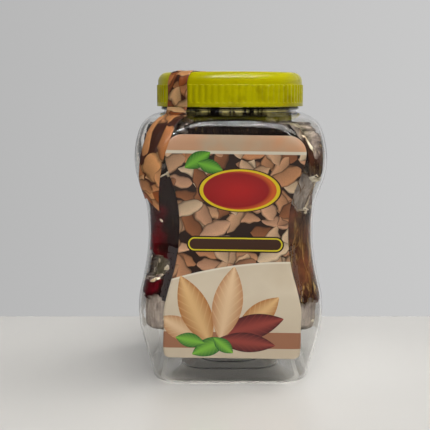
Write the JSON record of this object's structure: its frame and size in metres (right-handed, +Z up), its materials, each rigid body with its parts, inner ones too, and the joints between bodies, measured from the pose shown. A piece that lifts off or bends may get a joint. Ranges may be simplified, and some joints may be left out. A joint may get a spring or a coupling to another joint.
{
  "type": "filled food jar with screw lid",
  "caption": "Clear plastic jar with a waist and a threaded neck, a ribbed screw lid with a foam liner, wrap labels, a seal strip and a block of fruit pulp inside.",
  "frame": {"origin": "centre of the base, on the surface that the jar stands on", "axes": "+Z up along the neck and lid axis; the front label faces -Y; +X is to the right, seen from the front"},
  "size_m": [0.1092, 0.1117, 0.1811],
  "materials": {
    "clear_plastic": "clear, glossy",
    "lid_plastic": "moulded, satin",
    "liner_foam": "fine foam, matt",
    "printed_label": "printed, coated",
    "printed_strip": "printed, coated",
    "fruit_pulp": "moist, fibrous"
  },
  "bodies": {
    "jar": {"jar_body": "clear_plastic", "pulp_block": "fruit_pulp", "front_label": "printed_label", "back_label": "printed_label", "seal_strip_jar": "printed_strip"},
    "liner": {"lid_liner": "liner_foam"},
    "lid": {"lid_shell": "lid_plastic", "seal_strip_lid": "printed_strip"}
  },
  "joints": [
    {"name": "lid_rise", "type": "slide", "parent": "jar", "child": "liner", "axis": [0, 0, 1], "range_m": [0, 0.0051]},
    {"name": "lid_turn", "type": "hinge", "parent": "liner", "child": "lid", "pos_m": [0, 0, 0.17], "axis": [0, 0, 1], "range_deg": [0, 360]}
  ],
  "couplings": [
    {"joint": "lid_rise", "follows": "lid_turn", "m_per_rad": 0.00079577}
  ]
}
